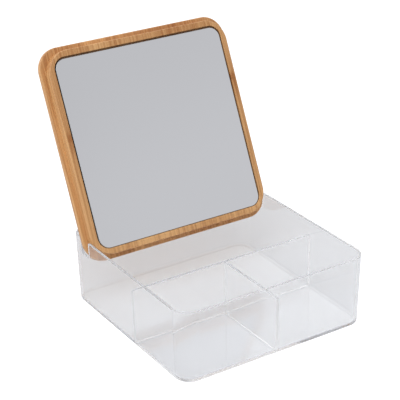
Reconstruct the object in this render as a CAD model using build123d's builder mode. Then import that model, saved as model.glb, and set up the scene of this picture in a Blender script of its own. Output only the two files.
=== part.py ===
from build123d import *

import os
from math import cos, radians, sin, tan

# Vanity box: a clear moulded tray with three compartments and a bamboo lid that carries a mirror.
# The lid covers the tray lying flat, or stands leaning back in two notches in the side walls, as it is here.
# Frame: X to the right, Y to the back, Z up, millimetres, origin at the centre of the tray's base.

# ---- Tray ----
tray_width = 190.0  # across the rim, outside
tray_depth = 190.0  # front to back at the rim, outside
tray_height = 66.5
wall_thickness = 2.4
floor_thickness = 2.6
corner_radius = 16.5  # upright corners at the rim, outside
wall_draft = 1.4  # degrees; the walls close in towards the base
base_edge_radius = 2.6  # outside, where the walls meet the floor
floor_edge_radius = 1.5  # inside, where the walls meet the floor
rim_edge_radius = 0.6

# ---- Dividers ----
divider_height = 51.0  # above the floor
divider_thickness = 2.4  # at the top
divider_draft = 0.5  # degrees on each face; the plates are thicker at the foot
divider_edge_radius = 0.6
long_divider_y = -14.0
cross_divider_x = 0.0
divider_corner_relief = 0.5  # beyond the tray's floor fillet

# ---- Lid board, laid flat in its own plane ----
lid_overhang = 1.7  # past the rim on each side when the lid lies flat on the tray
flange_thickness = 6.6  # the part that lies on the rim
lip_thickness = 9.5  # the raised part that drops inside the walls
lip_inset = 4.4  # from the edge of the flange to the lip
lip_face_width = 5.7  # from the edge of the lip to the mirror's recess
lid_corner_radius = 20.5
lip_corner_radius = 21.0
back_edge_radius = 3.0
flange_edge_radius = 1.2
lip_edge_radius = 1.0
recess_edge_radius = 0.5

# ---- Bamboo staves that make up the lid board ----
stave_width = 21.0
edge_stave_width = 25.7  # the first stave, at the left
narrowest_stave = 10.0

# ---- Mirror and the tape that holds it ----
mirror_thickness = 3.0
mirror_corner_radius = 10.0
mirror_set_back = 0.3  # mirror face behind the lip face
mirror_gap = 1.2  # all round, before the mirror settles
mirror_settle = 0.4  # the mirror sits this much low in its recess
mirror_arris = 0.5
tape_thickness = 1.0
tape_width = 18.0
tape_end_gap = 12.0  # from the mirror's top and bottom edges
tape_count = 4

# ---- How the lid stands in the tray ----
lid_tilt = 25.0  # degrees back from upright
lid_sink = 22.3  # lower back edge of the lid below the rim
lid_setback = 32.3  # lower back edge of the lid in front of the tray's rear face
notch_clearance = 0.35
notch_corner_radius = 1.5

# ---- Worked out ----
lid_width = tray_width + 2 * lid_overhang
lid_length = tray_depth + 2 * lid_overhang
lid_thickness = flange_thickness + lip_thickness
recess_inset = lip_inset + lip_face_width
recess_corner_radius = mirror_corner_radius + mirror_gap
recess_depth = mirror_set_back + mirror_thickness + tape_thickness
divider_top = floor_thickness + divider_height

# The lid's own plane lies in its back face: x across, y up the lid, z out of the mirror.
lid_up = Vector(0, sin(radians(lid_tilt)), cos(radians(lid_tilt)))
lid_face = Vector(0, -cos(radians(lid_tilt)), sin(radians(lid_tilt)))
lid_foot = Vector(0, tray_depth / 2 - lid_setback, tray_height - lid_sink)
lid_plane = Plane(
    origin=lid_foot + lid_up * (lid_length / 2), x_dir=(1, 0, 0), z_dir=lid_face
)

os.makedirs("parts", exist_ok=True)


def write(piece, name):
    """Labels a finished piece and writes its STEP file."""
    piece.label = name
    export_step(piece, f"parts/{name}.step")


# ======== Lid board ========
def lid_outline(plane, inset, radius):
    """A rounded square on a plane, inside the lid's edge by inset on every side."""
    with BuildSketch(plane) as outline:
        RectangleRounded(lid_width - 2 * inset, lid_length - 2 * inset, radius)
    return outline.sketch


with BuildPart() as flange:
    extrude(lid_outline(lid_plane, 0, lid_corner_radius), amount=flange_thickness)
    flange_faces = flange.faces().sort_by(Axis(lid_plane.origin, lid_plane.z_dir))
    fillet(flange_faces[0].edges(), back_edge_radius)
    flange_faces = flange.faces().sort_by(Axis(lid_plane.origin, lid_plane.z_dir))
    fillet(flange_faces[-1].edges(), flange_edge_radius)

with BuildPart() as lip:
    lip_base = lid_plane.offset(flange_thickness)
    lip_outline = lid_outline(lip_base, lip_inset, lip_corner_radius)
    extrude(lip_outline, amount=lip_thickness)
    lip_faces = lip.faces().sort_by(Axis(lid_plane.origin, lid_plane.z_dir))
    fillet(lip_faces[-1].edges(), lip_edge_radius)

with BuildPart() as board:
    add(flange.part)
    add(lip.part)
    lip_top = lid_plane.offset(lid_thickness)
    recess_outline = lid_outline(lip_top, recess_inset, recess_corner_radius)
    extrude(recess_outline, amount=-recess_depth, mode=Mode.SUBTRACT)
    board_faces = board.faces().sort_by(Axis(lid_plane.origin, lid_plane.z_dir))
    recess_rim = board_faces[-1].inner_wires()[0]
    fillet(recess_rim.edges(), recess_edge_radius)

# The board is glued up from upright staves; the first joint is one wide stave in from the left edge.
stave_joints = [-lid_width / 2]
next_joint = -lid_width / 2 + edge_stave_width
while next_joint < lid_width / 2 - narrowest_stave:
    stave_joints.append(next_joint)
    next_joint += stave_width
stave_joints.append(lid_width / 2)

for number, (left, right) in enumerate(zip(stave_joints, stave_joints[1:]), start=1):
    with BuildPart() as stave:
        add(board.part)
        with BuildSketch(lid_plane):
            with Locations(((left + right) / 2, 0)):
                Rectangle(right - left, lid_length)
        extrude(amount=lid_thickness, mode=Mode.INTERSECT)
    write(stave.part, f"lid_stave_{number}")

# ======== Mirror ========
mirror_width = lid_width - 2 * (recess_inset + mirror_gap)
mirror_length = lid_length - 2 * (recess_inset + mirror_gap)
recess_floor = lid_thickness - recess_depth

with BuildPart() as mirror_glass:
    with BuildSketch(lid_plane.offset(recess_floor + tape_thickness)):
        with Locations((0, -mirror_settle)):
            RectangleRounded(mirror_width, mirror_length, mirror_corner_radius)
    extrude(amount=mirror_thickness)
    mirror_faces = mirror_glass.faces().sort_by(Axis(lid_plane.origin, lid_plane.z_dir))
    chamfer(mirror_faces[-1].edges(), mirror_arris)
write(mirror_glass.part, "mirror_glass")

tape_pitch = mirror_width / tape_count
with BuildPart() as mirror_tape:
    with BuildSketch(lid_plane.offset(recess_floor)):
        with Locations((0, -mirror_settle)):
            with GridLocations(tape_pitch, 0, tape_count, 1):
                Rectangle(tape_width, mirror_length - 2 * tape_end_gap)
    extrude(amount=tape_thickness)
write(mirror_tape.part, "mirror_tape")


# ======== Tray ========
def inside(size, height):
    """Half the tray's inside width or depth at a height, between its drafted walls."""
    return size / 2 - wall_thickness - (tray_height - height) * tan(radians(wall_draft))


def tray_outline(inset):
    """The tray's rounded outline in the plane of the rim, taken in by inset."""
    with BuildSketch(Plane.XY.offset(tray_height)) as outline:
        RectangleRounded(
            tray_width - 2 * inset, tray_depth - 2 * inset, corner_radius - inset
        )
    return outline.sketch


with BuildPart() as cavity:
    cavity_depth = tray_height - floor_thickness
    extrude(tray_outline(wall_thickness), amount=-cavity_depth, taper=wall_draft)
    fillet(cavity.faces().sort_by(Axis.Z)[0].edges(), floor_edge_radius)

# Where the standing lid crosses the right side wall; it is centred, so it crosses both alike.
wall_inner_x = inside(tray_width, tray_height - lid_sink)
with BuildPart() as crossing:
    add(flange.part)
    with Locations((wall_inner_x, 0, 0)):
        Box(
            tray_width / 2 - wall_inner_x,
            tray_depth,
            tray_height,
            align=(Align.MIN, Align.CENTER, Align.MIN),
            mode=Mode.INTERSECT,
        )
crossed = crossing.part.bounding_box()
notch_front = crossed.min.Y - notch_clearance
notch_back = crossed.max.Y + notch_clearance
notch_bottom = crossed.min.Z - notch_clearance

with BuildPart() as tray:
    extrude(tray_outline(0), amount=-tray_height, taper=wall_draft)
    fillet(tray.faces().sort_by(Axis.Z)[0].edges(), base_edge_radius)
    add(cavity.part, mode=Mode.SUBTRACT)
    fillet(tray.faces().sort_by(Axis.Z)[-1].edges(), rim_edge_radius)
    with BuildSketch(Plane.YZ) as notch:
        with BuildLine():
            FilletPolyline(
                (notch_front, tray_height),
                (notch_front, notch_bottom),
                (notch_back, notch_bottom),
                (notch_back, tray_height),
                radius=notch_corner_radius,
            )
            Line((notch_back, tray_height), (notch_front, tray_height))
        make_face()
    extrude(amount=tray_width, both=True, mode=Mode.SUBTRACT)
write(tray.part, "tray")


# ======== Dividers ========
def plate_section(plane, across):
    """A divider's cross-section: thicker at the foot, standing on the tray's floor."""
    foot_half = divider_thickness / 2 + divider_height * tan(radians(divider_draft))
    top_half = divider_thickness / 2
    with BuildSketch(plane) as section:
        with BuildLine():
            Polyline(
                (across - foot_half, floor_thickness),
                (across - top_half, divider_top),
                (across + top_half, divider_top),
                (across + foot_half, floor_thickness),
                close=True,
            )
        make_face()
        top_corners = section.vertices().group_by(Axis.Z)[-1]
        fillet(top_corners, divider_edge_radius)
    return section.sketch


relief = floor_edge_radius + divider_corner_relief

with BuildPart() as long_divider:
    section_yz = plate_section(Plane.YZ, long_divider_y)
    extrude(section_yz, amount=tray_width, both=True)
    with BuildSketch(Plane.XZ):
        with BuildLine():
            floor_x = inside(tray_width, floor_thickness)
            relief_x = inside(tray_width, floor_thickness + relief)
            top_x = inside(tray_width, divider_top)
            Polyline(
                (-floor_x + relief, floor_thickness),
                (-relief_x, floor_thickness + relief),
                (-top_x, divider_top),
                (top_x, divider_top),
                (relief_x, floor_thickness + relief),
                (floor_x - relief, floor_thickness),
                close=True,
            )
        make_face()
    extrude(amount=tray_depth, both=True, mode=Mode.INTERSECT)
write(long_divider.part, "long_divider")

with BuildPart() as cross_divider:
    section_xz = plate_section(Plane.XZ, cross_divider_x)
    extrude(section_xz, amount=tray_depth, both=True)
    with BuildSketch(Plane.YZ):
        with BuildLine():
            front_floor = -inside(tray_depth, floor_thickness)
            front_relief = -inside(tray_depth, floor_thickness + relief)
            front_top = -inside(tray_depth, divider_top)
            back_top = long_divider_y - divider_thickness / 2
            back_floor = back_top - divider_height * tan(radians(divider_draft))
            Polyline(
                (front_floor + relief, floor_thickness),
                (front_relief, floor_thickness + relief),
                (front_top, divider_top),
                (back_top, divider_top),
                (back_floor, floor_thickness),
                close=True,
            )
        make_face()
    extrude(amount=tray_width, both=True, mode=Mode.INTERSECT)
write(cross_divider.part, "cross_divider")

print(f"notch y {notch_front:.2f} to {notch_back:.2f}, bottom z {notch_bottom:.2f}")
print(f"lid foot y {lid_foot.Y:.2f} z {lid_foot.Z:.2f}, up {lid_up.Y:.5f} {lid_up.Z:.5f}")
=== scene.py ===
from math import cos, pi, radians, sin, tan

import bmesh
import bpy
from bpy.props import FloatProperty, FloatVectorProperty, PointerProperty
from bpy.types import Operator, Panel, PropertyGroup
from mathutils import Matrix, Vector


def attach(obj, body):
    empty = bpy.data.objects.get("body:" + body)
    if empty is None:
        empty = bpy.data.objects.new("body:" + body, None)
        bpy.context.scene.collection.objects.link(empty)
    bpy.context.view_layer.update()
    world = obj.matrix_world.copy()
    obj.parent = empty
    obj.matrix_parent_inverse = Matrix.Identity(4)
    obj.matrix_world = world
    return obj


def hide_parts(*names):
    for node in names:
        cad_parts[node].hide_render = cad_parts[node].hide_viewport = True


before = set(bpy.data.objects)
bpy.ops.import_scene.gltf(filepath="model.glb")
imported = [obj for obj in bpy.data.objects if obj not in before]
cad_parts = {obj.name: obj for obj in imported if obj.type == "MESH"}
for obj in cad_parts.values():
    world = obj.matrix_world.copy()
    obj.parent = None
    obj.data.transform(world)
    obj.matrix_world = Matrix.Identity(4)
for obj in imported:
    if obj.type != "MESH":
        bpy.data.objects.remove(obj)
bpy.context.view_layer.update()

bl_info = {
    "name": "Vanity Box with Mirror",
    "version": (1, 0, 0),
    "blender": (4, 5, 0),
    "location": "3D View > Sidebar > Vanity Box",
    "description": "Builds a clear compartment tray and its bamboo lid with an inset mirror",
    "category": "Object",
}

MM = 0.001
WELD = 0.001 * MM  # points closer than this are one
LEVEL = 0.01 * MM  # heights closer than this are one
EDGE_BOUNCES = 300  # light goes round many times inside the clear edges
CLEAR_FACES = 24  # how many clear faces the lamp's light may cross
SENSOR_WIDTH = 36.0  # of the camera, in millimetres
FLOOR_RADIUS = 6.0
FLOOR_DROP = 0.2 * MM  # the floor lies this much below the tray
TRAY_CORNER_STEPS = 28
LID_CORNER_STEPS = 24
GLASS_CORNER_STEPS = 16
STAVE_COUNT = sum(1 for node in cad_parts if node.startswith("lid_stave_"))


# ---------------------------------------------------------------- settings

def length(name, description, default_mm):
    """A length property in metres, given in millimetres."""
    return FloatProperty(
        name=name, description=description, default=default_mm * MM, min=0.0,
        unit="LENGTH", precision=5,
    )


def colour(name, description, default):
    """A linear colour property."""
    return FloatVectorProperty(
        name=name, description=description, default=default, min=0.0, max=1.0,
        size=3, subtype="COLOR",
    )


class TraySettings(PropertyGroup):
    """Sizes and finish of the clear moulded tray."""

    width: length("Width", "Outside width and depth at the rim", 190.0)
    height: length("Height", "From the base to the rim", 66.5)
    wall: length("Wall", "Wall thickness", 2.4)
    floor: length("Floor", "Floor thickness", 2.6)
    corner_radius: length("Corner Radius", "Upright corners at the rim", 16.5)
    base_edge: length("Base Edge", "Outside radius between walls and base", 2.6)
    floor_edge: length("Floor Edge", "Inside radius between walls and floor", 1.5)
    rim_edge: length("Rim Edge", "Radius of the rim's edges", 0.6)
    draft: FloatProperty(
        name="Wall Draft", description="How far the walls lean out from upright",
        default=radians(1.4), subtype="ANGLE",
    )
    notch_front: length("Notch Front", "Front edge of the notches behind the centre", 60.08)
    notch_back: length("Notch Back", "Rear edge of the notches behind the centre", 73.45)
    notch_bottom: length("Notch Bottom", "Lower edge of the notches above the base", 51.74)
    notch_corner: length("Notch Corner", "Radius of the notches' lower corners", 1.5)
    tint: colour("Tint", "Colour of the clear plastic's faces", (0.996, 0.997, 0.998))
    depth_tint: colour("Depth Tint", "Colour that light takes on inside", (0.50, 0.53, 0.58))
    absorption: FloatProperty(
        name="Absorption", description="How strongly the plastic darkens light inside it",
        default=1.6, min=0.0,
    )
    ior: FloatProperty(
        name="IOR", description="Refractive index of the plastic", default=1.52,
        min=1.3, max=1.7,
    )


class DividerSettings(PropertyGroup):
    """Sizes of the two clear dividers."""

    top: length("Top", "Top of the dividers above the base", 53.6)
    thickness: length("Thickness", "Thickness at the top edge", 2.4)
    edge: length("Top Edge", "Radius of the top edges", 0.6)
    long_y: FloatProperty(
        name="Long Divider Place", description="Middle of the long divider, front to back",
        default=-14.0 * MM, unit="LENGTH", precision=5,
    )
    cross_x: FloatProperty(
        name="Cross Divider Place", description="Middle of the cross divider, left to right",
        default=0.0, unit="LENGTH", precision=5,
    )
    draft: FloatProperty(
        name="Draft", description="Lean of each face of a divider",
        default=radians(0.5), subtype="ANGLE",
    )
    gap: length("Gap", "Air left where a divider meets the tray or the other divider", 0.02)


class LidSettings(PropertyGroup):
    """Sizes and finish of the bamboo lid board."""

    width: length("Width", "Width and length of the board", 193.4)
    corner_radius: length("Corner Radius", "Corners of the flange", 20.5)
    flange: length("Flange Thickness", "Thickness of the outer part", 6.6)
    lip: length("Lip Height", "How far the lip stands above the flange", 9.5)
    lip_inset: length("Lip Inset", "From the edge of the flange to the lip", 4.4)
    lip_radius: length("Lip Radius", "Corners of the lip", 21.0)
    lip_face: length("Lip Face", "From the edge of the lip to the recess", 5.7)
    recess_radius: length("Recess Radius", "Corners of the recess", 11.2)
    recess: length("Recess Depth", "Depth of the mirror's recess", 4.3)
    back_edge: length("Back Edge", "Radius of the edge round the back", 3.0)
    flange_edge: length("Flange Edge", "Radius of the flange's front edge", 1.2)
    lip_edge: length("Lip Edge", "Radius of the lip's outer edge", 1.0)
    recess_edge: length("Recess Edge", "Radius of the recess's rim", 0.5)
    stave: length("Stave Width", "Width of one bamboo stave", 21.0)
    first_stave: length("First Stave", "Width of the stave at the left", 25.7)
    foot_y: length("Foot Place", "Lower back edge of the lid behind the centre", 62.7)
    foot_z: length("Foot Height", "Lower back edge of the lid above the base", 44.2)
    tilt: FloatProperty(
        name="Tilt", description="How far the lid leans back from upright",
        default=radians(25.0), subtype="ANGLE",
    )
    light_tone: colour("Light Tone", "Pale bamboo", (0.700, 0.395, 0.166))
    dark_tone: colour("Dark Tone", "Darker fibres of the bamboo", (0.370, 0.142, 0.038))
    stave_tones: FloatVectorProperty(
        name="Stave Tones", description="How dark each stave is, from the left", size=9,
        default=(0.40, 0.42, 0.15, 0.30, 0.40, 0.46, 0.46, 0.42, 0.32), min=0.0, max=1.0,
    )
    node_places: FloatVectorProperty(
        name="Node Places", size=9, min=0.0, max=1.2,
        description="Height of each stave's dark node, as a share of the board",
        default=(0.615, 0.45, 0.80, 0.30, 0.60, 0.55, 1.08, 0.35, 0.71),
    )
    node_height: length("Node Height", "How far a dark node reaches along its stave", 26.0)


class MirrorSettings(PropertyGroup):
    """Sizes and finish of the mirror glass."""

    width: length("Width", "Width of the glass", 170.8)
    height: length("Height", "Height of the glass, up the lid", 171.6)
    thickness: length("Thickness", "Thickness of the glass", 3.0)
    corner_radius: length("Corner Radius", "Corners of the glass", 10.0)
    arris: length("Arris", "Ground bevel along the front edge", 0.5)
    set_back: length("Set Back", "Glass face behind the lip's face", 0.3)
    settle: length("Settle", "How much the glass sits low in its recess", 0.6)
    silver: colour("Silver", "Colour of the silvering", (0.90, 0.91, 0.955))


class StageSettings(PropertyGroup):
    """Camera, floor, lamp and the light of the room."""

    camera_place: FloatVectorProperty(
        name="Camera Place", description="Where the camera stands", size=3,
        default=(-0.58204, -0.88773, 0.60653), subtype="TRANSLATION", unit="LENGTH",
    )
    camera_yaw: FloatProperty(
        name="Camera Yaw", description="Turn to the right from looking straight back",
        default=radians(32.524), subtype="ANGLE",
    )
    camera_pitch: FloatProperty(
        name="Camera Pitch", description="How far the camera looks down",
        default=radians(25.183), subtype="ANGLE",
    )
    camera_roll: FloatProperty(
        name="Camera Roll", description="Turn about the line of sight",
        default=radians(-0.796), subtype="ANGLE",
    )
    lens: FloatProperty(
        name="Lens", description="Focal length in millimetres on a 36 mm sensor",
        default=121.94, min=1.0,
    )
    floor_tone: colour("Floor Tone", "Colour of the floor", (0.570, 0.580, 0.605))
    floor_lift: FloatProperty(
        name="Floor Lift",
        description="White added to the floor where the camera sees it directly",
        default=0.62, min=0.0,
    )
    glass_lift: FloatProperty(
        name="Glass Lift",
        description="White added to the floor in the mirror and through the plastic",
        default=0.12, min=0.0,
    )
    room: FloatProperty(
        name="Room", description="Brightness of the room all round", default=0.46, min=0.0,
    )
    overhead: FloatProperty(
        name="Overhead", description="Brightness that the ceiling adds", default=0.25, min=0.0,
    )
    backdrop: FloatProperty(
        name="Backdrop", description="Brightness added behind the object", default=0.58, min=0.0,
    )
    side: FloatProperty(
        name="Side", description="Brightness added at the left", default=0.68, min=0.0,
    )
    far_side: FloatProperty(
        name="Far Side", description="Brightness added at the right", default=0.14, min=0.0,
    )
    upper_dim: FloatProperty(
        name="Upper Dim",
        description="Brightness taken away from about 20 degrees above the horizon",
        default=0.04, min=0.0,
    )
    softbox_place: FloatVectorProperty(
        name="Softbox Place", description="Where the large soft lamp hangs", size=3,
        default=(-0.40, -0.45, 1.40), subtype="TRANSLATION", unit="LENGTH",
    )
    softbox_size: length("Softbox Size", "Width of the soft lamp", 1000.0)
    softbox_power: FloatProperty(
        name="Softbox Power", description="Power of the soft lamp", default=7.0, min=0.0,
        unit="POWER",
    )


# ---------------------------------------------------------------- shader helpers

def add_node(tree, kind, place=(0, 0), **values):
    """Adds a shader node. Values go to the node's own settings, or else to its sockets."""
    node = tree.nodes.new(kind)
    node.location = place
    for key, value in values.items():
        if hasattr(node, key):
            setattr(node, key, value)
        else:
            node.inputs[key.replace("_", " ")].default_value = value
    return node


def shader_maths(tree, operation, first, second=None, clamp=False):
    """A Math node on one or two sockets or numbers; returns its output."""
    node = tree.nodes.new("ShaderNodeMath")
    node.operation = operation
    node.use_clamp = clamp
    for socket, value in zip(node.inputs, (first, second)):
        if value is None:
            continue
        if isinstance(value, (int, float)):
            socket.default_value = value
        else:
            tree.links.new(value, socket)
    return node.outputs[0]


def mix_colours(tree, factor, first, second):
    """A colour Mix node; returns its output."""
    node = tree.nodes.new("ShaderNodeMix")
    node.data_type = "RGBA"
    for index, value in ((0, factor), (6, first), (7, second)):
        if isinstance(value, bpy.types.NodeSocket):
            tree.links.new(value, node.inputs[index])
        else:
            node.inputs[index].default_value = (*value, 1.0)
    return node.outputs[2]


def smooth_step(tree, value, start, end, amount=1.0):
    """A soft rise from 0 at start to amount at end; returns its socket."""
    node = add_node(
        tree, "ShaderNodeMapRange", (-400, 0), interpolation_type="SMOOTHSTEP",
        From_Min=start, From_Max=end, To_Max=amount,
    )
    tree.links.new(value, node.inputs["Value"])
    return node.outputs["Result"]


def own_place(tree):
    """A point's place on the piece, in Object coordinates; returns the socket."""
    return add_node(tree, "ShaderNodeTexCoord", (-2000, 0)).outputs["Object"]


def pattern(tree, kind, vector, place=(-1200, 0), **values):
    """A Noise or Voronoi texture on a vector socket; returns its node."""
    node = add_node(tree, f"ShaderNodeTex{kind}", place, **values)
    tree.links.new(vector, node.inputs["Vector"])
    return node


def new_material(name):
    """An empty node material with its Principled shader; returns the material, tree and shader."""
    material = bpy.data.materials.new(name)
    material.use_nodes = True
    tree = material.node_tree
    shader = tree.nodes["Principled BSDF"]
    return material, tree, shader


def patchy_roughness(tree, shader, patches, roughness, levels=(0.0, 1.0)):
    """Roughness that goes between two values as a noise goes between two levels."""
    spread = add_node(
        tree, "ShaderNodeMapRange", (-500, 0), From_Min=levels[0], From_Max=levels[1],
        To_Min=roughness[0], To_Max=roughness[1],
    )
    tree.links.new(patches.outputs["Fac"], spread.inputs["Value"])
    tree.links.new(spread.outputs["Result"], shader.inputs["Roughness"])


# ---------------------------------------------------------------- clear plastic

def see_through(tray, name):
    """A clear material of the tray's plastic; returns the material, tree and shader."""
    material, tree, shader = new_material(name)
    shader.inputs["Base Color"].default_value = (*tray.tint, 1.0)
    shader.inputs["IOR"].default_value = tray.ior
    shader.inputs["Transmission Weight"].default_value = 1.0
    let_lamp_through(tree, shader, tray.ior)
    inside = add_node(
        tree, "ShaderNodeVolumeAbsorption", (300, -500), Density=tray.absorption,
        Color=(*tray.depth_tint, 1.0),
    )
    tree.links.new(inside.outputs[0], tree.nodes["Material Output"].inputs["Volume"])
    return material, tree, shader


def let_lamp_through(tree, shader, ior):
    """Lets the lamp's light straight through a clear shader, less what its faces reflect."""
    mirrored = add_node(tree, "ShaderNodeFresnel", (-300, -300), IOR=ior)
    kept = shader_maths(tree, "SUBTRACT", 1.0, mirrored.outputs["Fac"])
    both_faces = shader_maths(tree, "MULTIPLY", kept, kept)
    side = add_node(tree, "ShaderNodeNewGeometry", (-300, -500))
    through = shader_maths(tree, "MAXIMUM", both_faces, side.outputs["Backfacing"])
    clear = add_node(tree, "ShaderNodeBsdfTransparent", (300, -200))
    tree.links.new(through, clear.inputs["Color"])
    path = add_node(tree, "ShaderNodeLightPath", (0, 400))
    mix = add_node(tree, "ShaderNodeMixShader", (500, 0))
    tree.links.new(path.outputs["Is Shadow Ray"], mix.inputs[0])
    tree.links.new(shader.outputs[0], mix.inputs[1])
    tree.links.new(clear.outputs[0], mix.inputs[2])
    tree.links.new(mix.outputs[0], tree.nodes["Material Output"].inputs["Surface"])


def clear_plastic(tray):
    """Clear moulded plastic with faint scuffs."""
    material, tree, shader = see_through(tray, "Clear Moulded Plastic")
    scuffs = pattern(tree, "Noise", own_place(tree), Scale=90.0, Detail=4.0)
    patchy_roughness(tree, shader, scuffs, roughness=(0.06, 0.10), levels=(0.55, 0.8))
    return material


def bonded_edge(tray):
    """The frosted line where a clear divider is bonded to the tray."""
    material, tree, shader = see_through(tray, "Bonded Plastic Edge")
    streaks = pattern(tree, "Noise", own_place(tree), Scale=400.0, Detail=3.0)
    patchy_roughness(tree, shader, streaks, roughness=(0.35, 0.65))
    return material


# ---------------------------------------------------------------- bamboo

GRAIN_STRETCH = 0.018  # the grain's patterns are drawn out along the staves by one over this
NODE_RAGGED = 0.4  # how far a node's edge wanders, as a share of its height
NODE_FALL = 0.3  # how soon a node ends above its ring, as a share of its height
RING_REACH = 0.2  # of the ring on a node, each way, as a share of the node's height
SIDE_MARGIN = 0.1 * MM  # inside the lip's sides, where nodes and the upper painted shade start
SIDE_BLEND = 2.2 * MM  # over which they reach their full strength
PAINTED_STEP_BLEND = 0.4 * MM  # over which the painted shade on the step at the foot sets in, each way
# How far each pattern goes from the light tone to the dark one, at most.
FIBRE_SHADE = 0.45
STRAND_SHADE = 0.35
SLIVER_SHADE = 0.35
NODE_SHADE = 0.35
RING_SHADE = 0.30
# painted shade that darkens the board towards its top, in part also the bamboo's own tone
UPPER_TONE_AND_PAINTED_SHADE = 0.24
# painted shade on the step below the lip at the foot, where the lip shades it
PAINTED_STEP_SHADE = 0.31
GRAIN_LEVEL = 0.45  # taken off the sum again, as the grain adds about that much
VARNISH_ROUGHNESS = 0.36
VARNISH_SPREAD = 0.12  # how much rougher it is over the darkest strands


def stave_values(tree, place, values, lid):
    """A value for each stave, read from its place across the board; returns the socket."""
    ramp = add_node(tree, "ShaderNodeValToRGB", (-1000, -500))
    ramp.color_ramp.interpolation = "CONSTANT"
    elements = ramp.color_ramp.elements
    elements.remove(elements[1])
    for index, value in enumerate(values):
        start = (lid.first_stave + (index - 1) * lid.stave) / lid.width if index else 0.0
        element = elements.new(start) if index else elements[0]
        element.color = (value, value, value, 1.0)
    tree.links.new(place, ramp.inputs["Fac"])
    return ramp.outputs["Color"]


def grain_shades(tree, vector):
    """Fibres, strands and slivers along the staves; returns their shades and the strands."""
    grain = add_node(tree, "ShaderNodeMapping", (-1600, 200))
    grain.inputs["Scale"].default_value = (1.0, 1.0, GRAIN_STRETCH)
    tree.links.new(vector, grain.inputs["Vector"])
    along = grain.outputs["Vector"]
    fibres = pattern(tree, "Voronoi", along, (-1200, 400), Scale=800.0)
    strands = pattern(tree, "Noise", along, (-1200, 100), Scale=700.0, Detail=4.0, Roughness=0.65)
    slivers = pattern(tree, "Noise", along, (-1200, -200), Scale=500.0, Detail=2.0)
    fibre_lines = smooth_step(tree, fibres.outputs["Distance"], 0.35, 0.05)
    shades = (
        shader_maths(tree, "MULTIPLY", fibre_lines, FIBRE_SHADE),
        smooth_step(tree, strands.outputs["Fac"], 0.35, 0.65, STRAND_SHADE),
        smooth_step(tree, slivers.outputs["Fac"], 0.38, 0.62, SLIVER_SHADE),
    )
    return shades, strands.outputs["Fac"]


def node_shade(tree, lid, vector, across, along):
    """The dark node of each stave: a shade that deepens upwards to a thin ring."""
    mottle = pattern(tree, "Noise", vector, (-1200, -800), Scale=110.0, Detail=3.0)
    places = stave_values(tree, across, lid.node_places, lid)
    above = shader_maths(tree, "SUBTRACT", along, shader_maths(tree, "MULTIPLY", places, lid.width))
    ragged = shader_maths(tree, "MULTIPLY", mottle.outputs["Fac"], lid.node_height * NODE_RAGGED)
    above = shader_maths(tree, "ADD", above, ragged)
    rise = smooth_step(tree, above, -lid.node_height, 0.0, NODE_SHADE)
    fall = smooth_step(tree, above, lid.node_height * NODE_FALL, 0.0)
    distance = shader_maths(tree, "ABSOLUTE", above)
    ring = smooth_step(tree, distance, lid.node_height * RING_REACH, 0.0, RING_SHADE)
    return shader_maths(tree, "ADD", shader_maths(tree, "MULTIPLY", rise, fall), ring)


def bamboo(lid):
    """Edge-glued bamboo: staves of several tones, grain along them, dark nodes, and painted shade
    towards the top and on the step at the foot.
    """
    material, tree, shader = new_material("Bamboo Staves")
    turn = add_node(tree, "ShaderNodeMapping", (-1800, 0))
    turn.inputs["Rotation"].default_value = (lid.tilt, 0.0, 0.0)
    tree.links.new(own_place(tree), turn.inputs["Vector"])
    upright = turn.outputs["Vector"]
    split = add_node(tree, "ShaderNodeSeparateXYZ", (-1400, -300))
    tree.links.new(upright, split.inputs["Vector"])
    share = shader_maths(tree, "DIVIDE", split.outputs["X"], lid.width)
    across = shader_maths(tree, "ADD", share, 0.5)
    foot = lid.foot_z * cos(lid.tilt) + lid.foot_y * sin(lid.tilt)
    along = shader_maths(tree, "SUBTRACT", split.outputs["Z"], foot)
    grain, strands = grain_shades(tree, upright)
    node = node_shade(tree, lid, upright, across, along)
    # painted shade, darker towards the top of the board, in part also the bamboo's own tone
    upper_tone_and_shade = smooth_step(tree, along, 0.0, lid.width, UPPER_TONE_AND_PAINTED_SHADE)
    lip_side = lid.width / 2 - lid.lip_inset - SIDE_MARGIN
    off_centre = shader_maths(tree, "ABSOLUTE", split.outputs["X"])
    inside_lip = smooth_step(tree, off_centre, lip_side, lip_side - SIDE_BLEND)
    inner = shader_maths(tree, "MULTIPLY", shader_maths(tree, "ADD", node, upper_tone_and_shade), inside_lip)
    step_start, step_end = lid.lip_inset + PAINTED_STEP_BLEND, lid.lip_inset - PAINTED_STEP_BLEND
    # painted shade on the step at the foot, below the lip
    painted_step_shade = smooth_step(tree, along, step_start, step_end, PAINTED_STEP_SHADE)
    total = stave_values(tree, across, lid.stave_tones, lid)
    for shade in (*grain, inner, painted_step_shade):
        total = shader_maths(tree, "ADD", total, shade)
    amount = shader_maths(tree, "SUBTRACT", total, GRAIN_LEVEL, clamp=True)
    tone = mix_colours(tree, amount, lid.light_tone, lid.dark_tone)
    tree.links.new(tone, shader.inputs["Base Color"])
    spread = smooth_step(tree, strands, 0.3, 0.7, VARNISH_SPREAD)
    roughness = shader_maths(tree, "ADD", spread, VARNISH_ROUGHNESS)
    tree.links.new(roughness, shader.inputs["Roughness"])
    bump = add_node(tree, "ShaderNodeBump", (-300, -300), Strength=0.15, Distance=0.2 * MM)
    tree.links.new(strands, bump.inputs["Height"])
    tree.links.new(bump.outputs["Normal"], shader.inputs["Normal"])
    return material


# ---------------------------------------------------------------- mirror and tape

def silvered_glass(mirror):
    """Silvered mirror glass with a faint haze."""
    material, tree, shader = new_material("Silvered Glass")
    shader.inputs["Base Color"].default_value = (*mirror.silver, 1.0)
    shader.inputs["Metallic"].default_value = 1.0
    haze = pattern(tree, "Noise", own_place(tree), Scale=60.0, Detail=3.0)
    patchy_roughness(tree, shader, haze, roughness=(0.01, 0.03))
    return material


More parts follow.
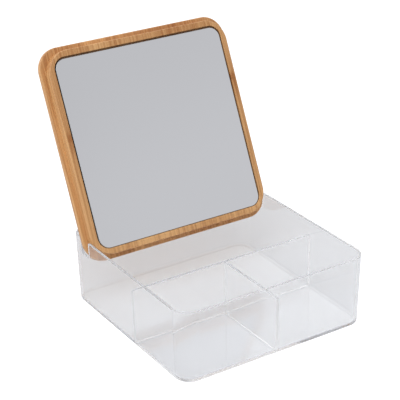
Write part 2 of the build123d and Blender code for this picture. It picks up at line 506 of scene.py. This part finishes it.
def backing_paint_and_gap_shade():
    """Dark backing on the back of the mirror glass; on its edges the same dark colour is painted
    shade for the gap round the glass.
    """
    material, tree, shader = new_material("Mirror Backing and Gap Shade")
    speckle = pattern(tree, "Noise", own_place(tree), Scale=500.0, Detail=3.0)
    brown, grey = (0.030, 0.024, 0.020), (0.055, 0.045, 0.038)
    shade = mix_colours(tree, speckle.outputs["Fac"], brown, grey)
    tree.links.new(shade, shader.inputs["Base Color"])
    shader.inputs["Roughness"].default_value = 0.7
    return material


def ground_arris():
    """The satin ground bevel round the mirror's front."""
    material, tree, shader = new_material("Ground Arris")
    shader.inputs["Metallic"].default_value = 1.0
    marks = pattern(tree, "Noise", own_place(tree), Scale=1500.0, Detail=2.0).outputs["Fac"]
    shade = mix_colours(tree, marks, (0.44, 0.46, 0.49), (0.54, 0.57, 0.60))
    tree.links.new(shade, shader.inputs["Base Color"])
    tree.links.new(smooth_step(tree, marks, 0.0, 1.0, 0.6), shader.inputs["Roughness"])
    return material


def foam_tape():
    """White foam tape."""
    material, tree, shader = new_material("Foam Tape")
    cells = pattern(tree, "Voronoi", own_place(tree), Scale=2500.0)
    shade = mix_colours(tree, cells.outputs["Distance"], (0.82, 0.82, 0.80), (0.70, 0.70, 0.68))
    tree.links.new(shade, shader.inputs["Base Color"])
    shader.inputs["Roughness"].default_value = 0.8
    return material


# ---------------------------------------------------------------- mesh helpers

def spun_ring(points, roundings, corner_centre, corner_steps):
    """A closed rounded-square body from one section.

    points are (distance out from the corner's centre, height) of the section, and roundings
    gives the radius and the steps at each of its corners. The section is turned round one
    corner, drawn out to the middle of both sides, mirrored twice, and closed with a flat face
    at each end.
    """
    bm = bmesh.new()
    verts = [bm.verts.new((out, 0.0, up)) for out, up in points]
    for first, second in zip(verts, verts[1:]):
        bm.edges.new((first, second))
    for vert, (radius, steps) in zip(list(verts), roundings):
        if radius:
            bmesh.ops.bevel(
                bm, geom=[vert], offset=radius, offset_type="OFFSET", segments=steps,
                profile=0.5, affect="VERTICES", material=-1, clamp_overlap=False,
            )
    bmesh.ops.translate(bm, verts=bm.verts, vec=(corner_centre, corner_centre, 0.0))
    section = bm.verts[:] + bm.edges[:]
    start_edges = bm.edges[:]
    turned = bmesh.ops.spin(
        bm, geom=section, cent=(corner_centre, corner_centre, 0.0), axis=(0, 0, 1),
        angle=pi / 2, steps=corner_steps, use_merge=False,
    )
    end_edges = [item for item in turned["geom_last"] if isinstance(item, bmesh.types.BMEdge)]
    to_middle = ((start_edges, (0.0, -corner_centre, 0.0)), (end_edges, (-corner_centre, 0.0, 0.0)))
    for edges, vector in to_middle:
        drawn = bmesh.ops.extrude_edge_only(bm, edges=edges)
        moved = [item for item in drawn["geom"] if isinstance(item, bmesh.types.BMVert)]
        bmesh.ops.translate(bm, verts=moved, vec=vector)
    for axis in ("X", "Y"):
        half = bm.verts[:] + bm.edges[:] + bm.faces[:]
        bmesh.ops.mirror(bm, geom=half, axis=axis, merge_dist=WELD)
    bmesh.ops.remove_doubles(bm, verts=bm.verts, dist=WELD)
    bmesh.ops.holes_fill(bm, edges=[edge for edge in bm.edges if edge.is_boundary], sides=0)
    bmesh.ops.recalc_face_normals(bm, faces=bm.faces)
    return bm


def block(width, depth, levels):
    """A block about the Z axis between two levels."""
    bm = bmesh.new()
    bmesh.ops.create_cube(bm, size=1.0)
    low, high = levels
    bmesh.ops.scale(bm, verts=bm.verts, vec=(width, depth, high - low))
    bmesh.ops.translate(bm, verts=bm.verts, vec=(0.0, 0.0, (low + high) / 2))
    return bm


def round_edges(bm, edges, radius, steps):
    """Rounds edges to a radius; one step is a flat bevel."""
    bmesh.ops.bevel(
        bm, geom=edges, offset=radius, offset_type="OFFSET", segments=steps, profile=0.5,
        affect="EDGES", material=-1,
    )


def rounded_slab(width, radius, levels, steps, height=None):
    """A slab with rounded upright corners, square unless a height is given."""
    bm = block(width, height or width, levels)
    upright = [
        edge for edge in bm.edges if abs(edge.verts[0].co.z - edge.verts[1].co.z) > MM
    ]
    round_edges(bm, upright, radius, steps)
    return bm


def round_rim(bm, level, radius, steps):
    """Rounds the edges of a slab at one level."""
    rim = [
        edge for edge in bm.edges if all(abs(vert.co.z - level) < LEVEL for vert in edge.verts)
    ]
    round_edges(bm, rim, radius, steps)


def finished_object(bm, name, material=None):
    """An object in the scene from a bmesh."""
    mesh = bpy.data.meshes.new(name)
    bm.to_mesh(mesh)
    bm.free()
    obj = bpy.data.objects.new(name, mesh)
    bpy.context.scene.collection.objects.link(obj)
    if material:
        mesh.materials.append(material)
    return obj


def smooth_with_flats(obj, crease=radians(35.0)):
    """Smooth shading that keeps large faces flat and edges over the crease sharp."""
    for polygon in obj.data.polygons:
        polygon.use_smooth = True
    bm = bmesh.new()
    bm.from_mesh(obj.data)
    for edge in bm.edges:
        edge.smooth = len(edge.link_faces) == 2 and edge.calc_face_angle(0.0) < crease
    bm.to_mesh(obj.data)
    bm.free()
    modifier = obj.modifiers.new("Flat Faces", "WEIGHTED_NORMAL")
    modifier.keep_sharp = True
    modifier.weight = 100


def put_in_order(mesh):
    """Sorts points, edges and faces by place, as a boolean's order changes from run to run."""
    bm = bmesh.new()
    bm.from_mesh(mesh)
    for items, place in (
        (bm.verts, lambda vert: tuple(vert.co)),
        (bm.edges, lambda edge: sorted(vert.index for vert in edge.verts)),
        (bm.faces, lambda face: sorted(vert.index for vert in face.verts)),
    ):
        for rank, item in enumerate(sorted(items, key=place)):
            item.index = rank
        items.sort()
    bm.to_mesh(mesh)
    bm.free()


def boolean_cut(obj, tool, operation="DIFFERENCE"):
    """Applies a boolean of one object on another and removes the tool."""
    modifier = obj.modifiers.new("Cut", "BOOLEAN")
    modifier.operation = operation
    modifier.solver = "EXACT"
    modifier.object = tool
    depsgraph = bpy.context.evaluated_depsgraph_get()
    result = bpy.data.meshes.new_from_object(obj.evaluated_get(depsgraph))
    obj.modifiers.remove(modifier)
    old = obj.data
    name = old.name
    obj.data = result
    bpy.data.meshes.remove(old)
    result.name = name
    bpy.data.objects.remove(tool)
    put_in_order(result)


def lid_matrix(lid):
    """Takes the board from lying flat to leaning: across, up the lid, out of the mirror."""
    up = Vector((0.0, sin(lid.tilt), cos(lid.tilt)))
    face = Vector((0.0, -cos(lid.tilt), sin(lid.tilt)))
    origin = Vector((0.0, lid.foot_y, lid.foot_z)) + up * (lid.width / 2)
    across = Vector((1.0, 0.0, 0.0))
    matrix = Matrix((across, up, face)).transposed().to_4x4()
    matrix.translation = origin
    return matrix


# ---------------------------------------------------------------- pieces

class VANITYBOX_OT_tray(Operator):
    """Build the clear tray"""

    bl_idname = "vanitybox.tray"
    bl_label = "Tray"

    def execute(self, context):
        tray = context.scene.vanity_tray
        centre = tray.width / 2 - tray.corner_radius
        lean = tan(tray.draft)
        outer_base = tray.corner_radius - tray.height * lean
        inner_rim = tray.corner_radius - tray.wall
        inner_floor = inner_rim - (tray.height - tray.floor) * lean
        start = 6.0 * MM  # from the corner's centre out to the ends of the section
        points = [
            (start, 0.0),
            (outer_base, 0.0),
            (tray.corner_radius, tray.height),
            (inner_rim, tray.height),
            (inner_floor, tray.floor),
            (start, tray.floor),
        ]
        roundings = [
            (0, 0),
            (tray.base_edge, 8),
            (tray.rim_edge, 5),
            (tray.rim_edge, 5),
            (tray.floor_edge, 6),
            (0, 0),
        ]
        bm = spun_ring(points, roundings, centre, TRAY_CORNER_STEPS)
        obj = finished_object(bm, "Clear_Tray", clear_plastic(tray))
        boolean_cut(obj, self.notch_cutter(tray))
        smooth_with_flats(obj)
        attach(obj, "tray")
        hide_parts("tray")
        return {"FINISHED"}

    @staticmethod
    def notch_cutter(tray):
        """A bar through both side walls with rounded lower edges."""
        over = 10.0 * MM
        depth = tray.notch_back - tray.notch_front
        bm = block(tray.width + over, depth, (tray.notch_bottom, tray.height + over))
        middle = (tray.notch_back + tray.notch_front) / 2
        bmesh.ops.translate(bm, verts=bm.verts, vec=(0.0, middle, 0.0))
        low = [
            edge for edge in bm.edges
            if all(vert.co.z < tray.height for vert in edge.verts)
            and abs(edge.verts[0].co.x - edge.verts[1].co.x) > over
        ]
        round_edges(bm, low, tray.notch_corner, 6)
        return finished_object(bm, "Notch Cutter")


class VANITYBOX_OT_dividers(Operator):
    """Build the two clear dividers"""

    bl_idname = "vanitybox.dividers"
    bl_label = "Dividers"

    def execute(self, context):
        tray = context.scene.vanity_tray
        dividers = context.scene.vanity_dividers
        low = tray.floor + dividers.gap
        lean = tan(tray.draft)
        reach = tray.width / 2 - tray.wall - dividers.gap
        halves = [reach - (tray.height - up) * lean for up in (low, dividers.top)]
        spread = (dividers.top - low) * tan(dividers.draft)
        thick = [dividers.thickness / 2 + spread, dividers.thickness / 2]
        face = [dividers.long_y - half - dividers.gap for half in thick]
        long_ends = [(-half, half) for half in halves]
        cross_ends = [(-half, front) for half, front in zip(halves, face)]
        plastic = bpy.data.materials["Clear Moulded Plastic"]
        bond = bonded_edge(tray)
        for name, ends, turn, shift in (
            ("long", long_ends, 0.0, (0.0, dividers.long_y, 0.0)),
            ("cross", cross_ends, pi / 2, (dividers.cross_x, 0.0, 0.0)),
        ):
            bm = self.plate(ends, thick, (low, dividers.top), dividers.edge)
            rotation = Matrix.Rotation(turn, 3, "Z")
            bmesh.ops.rotate(bm, verts=bm.verts, cent=(0, 0, 0), matrix=rotation)
            bmesh.ops.translate(bm, verts=bm.verts, vec=shift)
            along = Vector((cos(turn), sin(turn), 0.0))
            bm.normal_update()
            for surface in bm.faces:
                if surface.normal.z < -0.9 or abs(surface.normal.dot(along)) > 0.9:
                    surface.material_index = 1
            obj = finished_object(bm, f"Clear_{name.title()}_Divider", plastic)
            obj.data.materials.append(bond)
            smooth_with_flats(obj)
            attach(obj, "tray")
            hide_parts(f"{name}_divider")
        return {"FINISHED"}

    @staticmethod
    def plate(ends, thick, levels, edge):
        """An upright plate along X; ends, thick and levels each give the low value first."""
        bm = bmesh.new()
        bmesh.ops.create_cube(bm, size=2.0)
        for vert in bm.verts:
            level = 1 if vert.co.z > 0 else 0
            left, right = ends[level]
            vert.co.x = right if vert.co.x > 0 else left
            vert.co.y *= thick[level]
            vert.co.z = levels[level]
        top = [
            item for item in bm.edges
            if all(vert.co.z > levels[1] - MM for vert in item.verts)
            and abs(item.verts[0].co.x - item.verts[1].co.x) > MM
        ]
        round_edges(bm, top, edge, 5)
        bmesh.ops.recalc_face_normals(bm, faces=bm.faces)
        return bm


class VANITYBOX_OT_staves(Operator):
    """Build the lid board from its bamboo staves"""

    bl_idname = "vanitybox.staves"
    bl_label = "Bamboo Staves"

    def execute(self, context):
        lid = context.scene.vanity_lid
        board = self.board(lid)
        bmesh.ops.transform(board, matrix=lid_matrix(lid), verts=board.verts)
        material = bamboo(lid)
        left = -lid.width / 2
        right = left + lid.first_stave
        for number in range(1, STAVE_COUNT + 1):
            if number == STAVE_COUNT:
                right = lid.width / 2
            strip = board.copy()
            for place, normal in ((left, -1.0), (right, 1.0)):
                if abs(place) < lid.width / 2 - MM:
                    self.trim(strip, place, normal)
            obj = finished_object(strip, f"Bamboo_Stave_{number}", material)
            smooth_with_flats(obj)
            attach(obj, "lid")
            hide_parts(f"lid_stave_{number}")
            left = right
            right = left + lid.stave
        board.free()
        return {"FINISHED"}

    @staticmethod
    def trim(strip, place, normal):
        """Cuts a copy of the board off at a joint and closes the cut."""
        whole = strip.verts[:] + strip.edges[:] + strip.faces[:]
        cut = bmesh.ops.bisect_plane(
            strip, geom=whole, dist=WELD / 10, plane_co=(place, 0, 0), plane_no=(normal, 0, 0),
            clear_outer=True,
        )
        edges = [item for item in cut["geom_cut"] if isinstance(item, bmesh.types.BMEdge)]
        bmesh.ops.holes_fill(strip, edges=edges, sides=0)

    @staticmethod
    def board(lid):
        """The whole board lying flat: flange and lip joined, with the mirror's recess cut."""
        top = lid.flange + lid.lip
        lip_width = lid.width - 2 * lid.lip_inset
        recess_width = lip_width - 2 * lid.lip_face
        flange = rounded_slab(
            lid.width, lid.corner_radius, (0.0, lid.flange), LID_CORNER_STEPS,
        )
        round_rim(flange, 0.0, lid.back_edge, 8)
        round_rim(flange, lid.flange, lid.flange_edge, 5)
        lip = rounded_slab(lip_width, lid.lip_radius, (lid.flange / 2, top), LID_CORNER_STEPS)
        round_rim(lip, top, lid.lip_edge, 5)
        recess_levels = (top - lid.recess, top + lid.lip)
        recess = rounded_slab(
            recess_width, lid.recess_radius, recess_levels, GLASS_CORNER_STEPS,
        )
        obj = finished_object(flange, "Board")
        boolean_cut(obj, finished_object(lip, "Lip"), "UNION")
        boolean_cut(obj, finished_object(recess, "Recess"))
        board = bmesh.new()
        board.from_mesh(obj.data)
        bpy.data.meshes.remove(obj.data)
        bmesh.ops.dissolve_limit(
            board, angle_limit=radians(0.5), verts=board.verts, edges=board.edges,
        )
        inner = recess_width / 2 + 10 * LEVEL
        rim = [
            edge for edge in board.edges
            if all(abs(vert.co.z - top) < LEVEL for vert in edge.verts)
            and all(max(abs(vert.co.x), abs(vert.co.y)) < inner for vert in edge.verts)
        ]
        round_edges(board, rim, lid.recess_edge, 4)
        bmesh.ops.remove_doubles(board, verts=board.verts, dist=2 * WELD)
        return board


class VANITYBOX_OT_mirror(Operator):
    """Build the mirror glass and finish the tape behind it"""

    bl_idname = "vanitybox.mirror"
    bl_label = "Mirror"

    def execute(self, context):
        lid = context.scene.vanity_lid
        mirror = context.scene.vanity_mirror
        face = lid.flange + lid.lip - mirror.set_back
        levels = (face - mirror.thickness, face)
        bm = rounded_slab(
            mirror.width, mirror.corner_radius, levels, GLASS_CORNER_STEPS, mirror.height,
        )
        round_rim(bm, face, mirror.arris, 1)
        bmesh.ops.translate(bm, verts=bm.verts, vec=(0.0, -mirror.settle, 0.0))
        bm.normal_update()
        silvering, backing_and_gap_shade, arris = silvered_glass(mirror), backing_paint_and_gap_shade(), ground_arris()
        for surface in bm.faces:
            # the sides take the dark backing colour as painted shade for the gap round the glass
            if surface.normal.z < 0.9:  # the arris slopes; the sides and the back don't face out
                surface.material_index = 2 if surface.normal.z > 0.1 else 1
        bmesh.ops.transform(bm, matrix=lid_matrix(lid), verts=bm.verts)
        obj = finished_object(bm, "Mirror_Glass", silvering)
        obj.data.materials.append(backing_and_gap_shade)
        obj.data.materials.append(arris)
        smooth_with_flats(obj, radians(30.0))
        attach(obj, "lid")
        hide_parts("mirror_glass")
        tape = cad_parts["mirror_tape"]
        tape.data.materials.clear()
        tape.data.materials.append(foam_tape())
        return {"FINISHED"}


class VANITYBOX_OT_stage(Operator):
    """Set up the floor, the light of the room, the lamp and the camera"""

    bl_idname = "vanitybox.stage"
    bl_label = "Stage"

    def execute(self, context):
        stage = context.scene.vanity_stage
        self.floor(stage)
        self.world(context, stage)
        self.softbox(context, stage)
        self.camera(context, stage)
        context.scene.view_settings.view_transform = "Standard"
        cycles = context.scene.cycles
        cycles.max_bounces = EDGE_BOUNCES
        cycles.glossy_bounces = EDGE_BOUNCES
        cycles.transmission_bounces = EDGE_BOUNCES
        cycles.transparent_max_bounces = CLEAR_FACES
        cycles.blur_glossy = 0.0  # blurring darkens what is lit through the plastic
        return {"FINISHED"}

    @staticmethod
    def floor(stage):
        """A pale floor, lifted to white for the camera and a little in mirror and plastic."""
        bm = bmesh.new()
        bmesh.ops.create_circle(bm, cap_ends=True, segments=64, radius=FLOOR_RADIUS)
        bmesh.ops.translate(bm, verts=bm.verts, vec=(0.0, 0.0, -FLOOR_DROP))
        material, tree, shader = new_material("Pale Floor")
        shader.inputs["Base Color"].default_value = (*stage.floor_tone, 1.0)
        shader.inputs["Roughness"].default_value = 0.9
        shader.inputs["Specular IOR Level"].default_value = 0.0
        path = add_node(tree, "ShaderNodeLightPath", (-400, -200))
        seen = shader_maths(tree, "MULTIPLY", path.outputs["Is Camera Ray"], stage.floor_lift)
        glossy, transmitted = path.outputs["Is Glossy Ray"], path.outputs["Is Transmission Ray"]
        in_glass = shader_maths(tree, "MAXIMUM", glossy, transmitted)
        in_glass = shader_maths(tree, "MULTIPLY", in_glass, stage.glass_lift)
        lift = shader_maths(tree, "ADD", seen, in_glass)
        shader.inputs["Emission Color"].default_value = (1.0, 1.0, 1.0, 1.0)
        tree.links.new(lift, shader.inputs["Emission Strength"])
        obj = finished_object(bm, "Floor", material)

    @staticmethod
    def world(context, stage):
        """A soft room, brighter overhead, behind the object and at its sides."""
        world = bpy.data.worlds.new("Studio")
        context.scene.world = world
        world.use_nodes = True
        world.cycles.sampling_method = "NONE"
        tree = world.node_tree
        tree.nodes.clear()
        output = add_node(tree, "ShaderNodeOutputWorld", (600, 0))
        light = add_node(tree, "ShaderNodeBackground", (200, 0), Color=(1.0, 1.0, 1.0, 1.0))
        coords = add_node(tree, "ShaderNodeTexCoord", (-900, 0))
        split = add_node(tree, "ShaderNodeSeparateXYZ", (-700, 0))
        tree.links.new(coords.outputs["Generated"], split.inputs["Vector"])
        total = stage.room
        # The axis of each glow's direction, where it starts, where it is full, how strong it is.
        for axis, start, end, amount in (
            ("Z", 0.45, 0.90, stage.overhead),
            ("Y", -0.10, 0.50, stage.backdrop),
            ("X", -0.20, -0.90, stage.side),
            ("X", 0.20, 0.46, stage.far_side),
            ("Z", 0.32, 0.44, -stage.upper_dim),
        ):
            glow = smooth_step(tree, split.outputs[axis], start, end, amount)
            total = shader_maths(tree, "ADD", glow, total)
        tree.links.new(total, light.inputs["Strength"])
        tree.links.new(light.outputs[0], output.inputs["Surface"])

    @staticmethod
    def softbox(context, stage):
        """A large soft lamp above, in front and to the left, aimed at the middle of the tray."""
        data = bpy.data.lights.new("Softbox", "AREA")
        data.shape = "SQUARE"
        data.size = stage.softbox_size
        data.energy = stage.softbox_power
        lamp = bpy.data.objects.new("Softbox", data)
        lamp.location = stage.softbox_place
        lamp.rotation_euler = (-Vector(stage.softbox_place)).to_track_quat("-Z", "Y").to_euler()
        lamp.visible_transmission = False  # its light already passes straight through the plastic
        context.scene.collection.objects.link(lamp)

    @staticmethod
    def camera(context, stage):
        """The camera, turned to the right, down and about its line of sight."""
        yaw, pitch, roll = stage.camera_yaw, stage.camera_pitch, stage.camera_roll
        ahead = Vector((sin(yaw) * cos(pitch), cos(yaw) * cos(pitch), -sin(pitch)))
        right = Vector((cos(yaw), -sin(yaw), 0.0))
        up = right.cross(ahead)
        turned_right = right * cos(roll) + up * sin(roll)
        turned_up = up * cos(roll) - right * sin(roll)
        data = bpy.data.cameras.new("Camera")
        data.lens = stage.lens
        data.sensor_width = SENSOR_WIDTH
        obj = bpy.data.objects.new("Camera", data)
        matrix = Matrix((turned_right, turned_up, -ahead)).transposed().to_4x4()
        matrix.translation = stage.camera_place
        obj.matrix_world = matrix
        context.scene.collection.objects.link(obj)
        context.scene.camera = obj


class VANITYBOX_PT_panel(Panel):
    """Lists the steps that build the vanity box"""

    bl_idname = "VANITYBOX_PT_panel"
    bl_label = "Vanity Box"
    bl_space_type = "VIEW_3D"
    bl_region_type = "UI"
    bl_category = "Vanity Box"

    def draw(self, context):
        for operator in STEPS:
            self.layout.operator(operator.bl_idname)


SETTINGS = {
    "vanity_tray": TraySettings,
    "vanity_dividers": DividerSettings,
    "vanity_lid": LidSettings,
    "vanity_mirror": MirrorSettings,
    "vanity_stage": StageSettings,
}
STEPS = (
    VANITYBOX_OT_tray,
    VANITYBOX_OT_dividers,
    VANITYBOX_OT_staves,
    VANITYBOX_OT_mirror,
    VANITYBOX_OT_stage,
)


def register():
    for group in SETTINGS.values():
        bpy.utils.register_class(group)
    for operator in STEPS:
        bpy.utils.register_class(operator)
    bpy.utils.register_class(VANITYBOX_PT_panel)
    for name, group in SETTINGS.items():
        setattr(bpy.types.Scene, name, PointerProperty(type=group))


def unregister():
    for name in SETTINGS:
        delattr(bpy.types.Scene, name)
    bpy.utils.unregister_class(VANITYBOX_PT_panel)
    for operator in reversed(STEPS):
        bpy.utils.unregister_class(operator)
    for group in reversed(list(SETTINGS.values())):
        bpy.utils.unregister_class(group)


def main():
    register()
    bpy.ops.vanitybox.tray()
    bpy.ops.vanitybox.dividers()
    bpy.ops.vanitybox.staves()
    bpy.ops.vanitybox.mirror()
    bpy.ops.vanitybox.stage()


if __name__ == "__main__":
    main()
